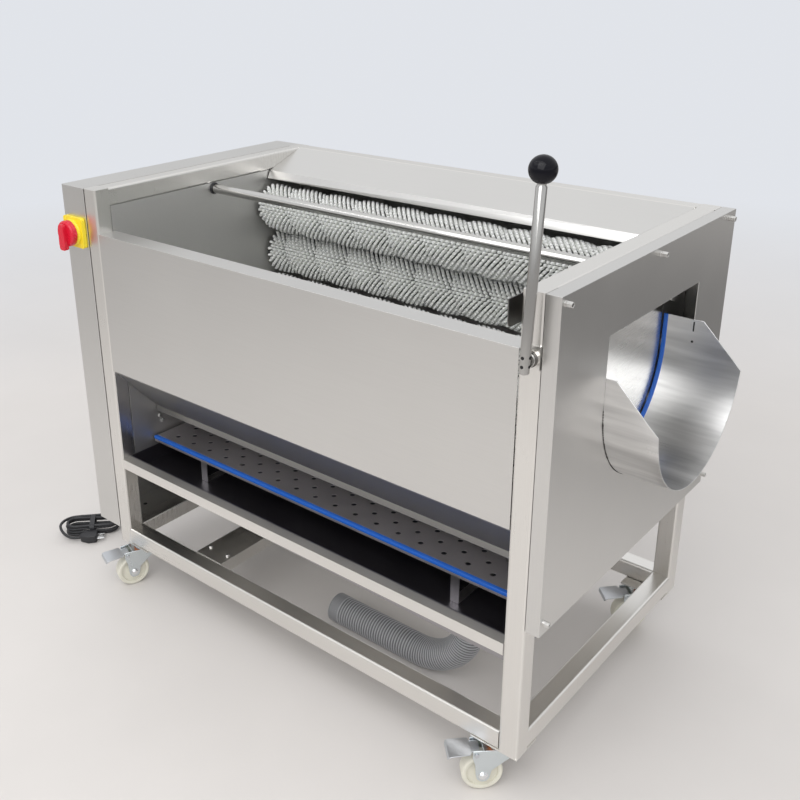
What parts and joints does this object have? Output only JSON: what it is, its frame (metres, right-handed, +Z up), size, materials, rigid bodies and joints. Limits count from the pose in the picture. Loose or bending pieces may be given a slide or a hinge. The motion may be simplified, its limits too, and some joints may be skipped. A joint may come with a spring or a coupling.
{
  "type": "roller vegetable washer",
  "caption": "Vegetable washing machine with a U-shaped bed of spinning brush rollers in an open hopper, a lever-worked discharge gate and chute, slag tray, drain hose and braked casters.",
  "frame": {"origin": "middle of the machine's footprint on the floor, without the lead and the hose", "axes": "+X along the rollers to the discharge chute, +Y to the back, +Z up"},
  "size_m": [1.4985, 0.7226, 1.146],
  "materials": {
    "stainless": "brushed",
    "stainless_dark": "satin",
    "stainless_sheet": "brushed",
    "zinc": "satin",
    "pedal_chrome": "gloss",
    "wheel_nylon": "gloss",
    "brush_nylon": "matte",
    "blue_edging": "satin",
    "black_plastic": "gloss",
    "black_rubber": "matte",
    "grey_hose": "satin",
    "yellow_plastic": "satin",
    "red_plastic": "gloss",
    "motor_paint": "satin",
    "chain_steel": "satin"
  },
  "bodies": {
    "base": {"left_end_frame": "stainless", "right_end_frame": "stainless", "rear_top_rail": "stainless", "front_bottom_rail": "stainless", "rear_bottom_rail": "stainless", "motor_channel": "stainless_dark", "drain_pan": "stainless_dark", "left_cover": "stainless_sheet", "right_cover": "stainless_sheet", "front_panel": "stainless_sheet", "rear_cover": "stainless_sheet", "rear_panel": "stainless_sheet", "left_end_wall": "stainless_sheet", "right_end_wall": "stainless_sheet", "discharge_chute": "stainless_sheet", "spray_pipe": "stainless_sheet", "chute_edging": "blue_edging", "drain_hose": "grey_hose", "pipe_grommet": "black_rubber", "power_cord": "black_rubber", "cord_hank": "black_rubber", "cord_gland": "black_plastic", "power_plug": "black_plastic", "isolator_base": "yellow_plastic", "drive_chain": "chain_steel", "motor_chain": "chain_steel", "gear_motor": "motor_paint"},
    "roller_1": {"roller_core_1": "stainless_dark", "brush_1": "brush_nylon"},
    "roller_2": {"roller_core_2": "stainless_dark", "brush_2": "brush_nylon"},
    "roller_3": {"roller_core_3": "stainless_dark", "brush_3": "brush_nylon"},
    "roller_4": {"roller_core_4": "stainless_dark", "brush_4": "brush_nylon"},
    "roller_5": {"roller_core_5": "stainless_dark", "brush_5": "brush_nylon"},
    "roller_6": {"roller_core_6": "stainless_dark", "brush_6": "brush_nylon"},
    "roller_7": {"roller_core_7": "stainless_dark", "brush_7": "brush_nylon"},
    "motor_output": {"motor_sprocket": "chain_steel"},
    "gate": {"discharge_gate": "stainless_sheet", "gate_lever": "stainless_sheet", "lever_knob": "black_plastic"},
    "tray": {"slag_tray": "stainless_dark", "tray_edging": "blue_edging"},
    "isolator_switch": {"isolator_knob": "red_plastic"},
    "fork_front_left": {"caster_fork_front_left": "zinc"},
    "wheel_front_left": {"caster_wheel_front_left": "wheel_nylon"},
    "pedal_front_left": {"caster_pedal_front_left": "pedal_chrome"},
    "fork_front_right": {"caster_fork_front_right": "zinc"},
    "wheel_front_right": {"caster_wheel_front_right": "wheel_nylon"},
    "pedal_front_right": {"caster_pedal_front_right": "pedal_chrome"},
    "fork_rear_left": {"caster_fork_rear_left": "zinc"},
    "wheel_rear_left": {"caster_wheel_rear_left": "wheel_nylon"},
    "pedal_rear_left": {"caster_pedal_rear_left": "pedal_chrome"},
    "fork_rear_right": {"caster_fork_rear_right": "zinc"},
    "wheel_rear_right": {"caster_wheel_rear_right": "wheel_nylon"},
    "pedal_rear_right": {"caster_pedal_rear_right": "pedal_chrome"}
  },
  "joints": [
    {"name": "motor_spin", "type": "hinge", "parent": "base", "child": "motor_output", "pos_m": [-0.556, 0.11638, 0.2093], "axis": [1, 0, 0], "continuous": true},
    {"name": "roller_1_spin", "type": "hinge", "parent": "base", "child": "roller_1", "pos_m": [-0.03, 0.21928, 0.81853], "axis": [1, 0, 0], "continuous": true},
    {"name": "roller_2_spin", "type": "hinge", "parent": "base", "child": "roller_2", "pos_m": [-0.03, 0.24808, 0.70513], "axis": [1, 0, 0], "continuous": true},
    {"name": "roller_3_spin", "type": "hinge", "parent": "base", "child": "roller_3", "pos_m": [-0.03, 0.20951, 0.59467], "axis": [1, 0, 0], "continuous": true},
    {"name": "roller_4_spin", "type": "hinge", "parent": "base", "child": "roller_4", "pos_m": [-0.03, 0.11638, 0.52385], "axis": [1, 0, 0], "continuous": true},
    {"name": "roller_5_spin", "type": "hinge", "parent": "base", "child": "roller_5", "pos_m": [-0.03, -0.00037, 0.5162], "axis": [1, 0, 0], "continuous": true},
    {"name": "roller_6_spin", "type": "hinge", "parent": "base", "child": "roller_6", "pos_m": [-0.03, -0.10195, 0.57426], "axis": [1, 0, 0], "continuous": true},
    {"name": "roller_7_spin", "type": "hinge", "parent": "base", "child": "roller_7", "pos_m": [-0.03, -0.15461, 0.67874], "axis": [1, 0, 0], "continuous": true},
    {"name": "gate_swing", "type": "hinge", "parent": "base", "child": "gate", "pos_m": [0.521, 0.04529, 0.84799], "axis": [0, -1, 0], "range_deg": [0, 80]},
    {"name": "tray_lift", "type": "slide", "parent": "base", "child": "tray", "axis": [0, 0, 1], "range_m": [0, 0.05]},
    {"name": "isolator_turn", "type": "hinge", "parent": "base", "child": "isolator_switch", "pos_m": [-0.594, -0.3137, 0.84993], "axis": [0, 1, 0], "range_deg": [0, 90]},
    {"name": "swivel_front_left", "type": "hinge", "parent": "base", "child": "fork_front_left", "pos_m": [-0.5085, -0.2572, 0.102], "axis": [0, 0, 1], "continuous": true},
    {"name": "wheel_spin_front_left", "type": "hinge", "parent": "fork_front_left", "child": "wheel_front_left", "pos_m": [-0.52116, -0.29197, 0.0375], "axis": [0.9397, -0.342, 0], "continuous": true},
    {"name": "brake_front_left", "type": "hinge", "parent": "fork_front_left", "child": "pedal_front_left", "pos_m": [-0.52552, -0.30395, 0.0837], "axis": [0.9397, -0.342, 0], "range_deg": [0, 12]},
    {"name": "swivel_front_right", "type": "hinge", "parent": "base", "child": "fork_front_right", "pos_m": [0.4865, -0.2572, 0.102], "axis": [0, 0, 1], "continuous": true},
    {"name": "wheel_spin_front_right", "type": "hinge", "parent": "fork_front_right", "child": "wheel_front_right", "pos_m": [0.46034, -0.28336, 0.0375], "axis": [0.7071, -0.7071, 0], "continuous": true},
    {"name": "brake_front_right", "type": "hinge", "parent": "fork_front_right", "child": "pedal_front_right", "pos_m": [0.45132, -0.29238, 0.0837], "axis": [0.7071, -0.7071, 0], "range_deg": [0, 12]},
    {"name": "swivel_rear_left", "type": "hinge", "parent": "base", "child": "fork_rear_left", "pos_m": [-0.5085, 0.32877, 0.102], "axis": [0, 0, 1], "continuous": true},
    {"name": "wheel_spin_rear_left", "type": "hinge", "parent": "fork_rear_left", "child": "wheel_rear_left", "pos_m": [-0.54327, 0.31612, 0.0375], "axis": [0.342, -0.9397, 0], "continuous": true},
    {"name": "brake_rear_left", "type": "hinge", "parent": "fork_rear_left", "child": "pedal_rear_left", "pos_m": [-0.55525, 0.31176, 0.0837], "axis": [0.342, -0.9397, 0], "range_deg": [0, 12]},
    {"name": "swivel_rear_right", "type": "hinge", "parent": "base", "child": "fork_rear_right", "pos_m": [0.4865, 0.32877, 0.102], "axis": [0, 0, 1], "continuous": true},
    {"name": "wheel_spin_rear_right", "type": "hinge", "parent": "fork_rear_right", "child": "wheel_rear_right", "pos_m": [0.46034, 0.30261, 0.0375], "axis": [0.7071, -0.7071, 0], "continuous": true},
    {"name": "brake_rear_right", "type": "hinge", "parent": "fork_rear_right", "child": "pedal_rear_right", "pos_m": [0.45132, 0.2936, 0.0837], "axis": [0.7071, -0.7071, 0], "range_deg": [0, 12]}
  ],
  "couplings": [
    {"joint": "roller_1_spin", "follows": "motor_spin", "ratio": 1},
    {"joint": "roller_2_spin", "follows": "motor_spin", "ratio": 1},
    {"joint": "roller_3_spin", "follows": "motor_spin", "ratio": 1},
    {"joint": "roller_4_spin", "follows": "motor_spin", "ratio": 1},
    {"joint": "roller_5_spin", "follows": "motor_spin", "ratio": 1},
    {"joint": "roller_6_spin", "follows": "motor_spin", "ratio": 1},
    {"joint": "roller_7_spin", "follows": "motor_spin", "ratio": 1}
  ]
}
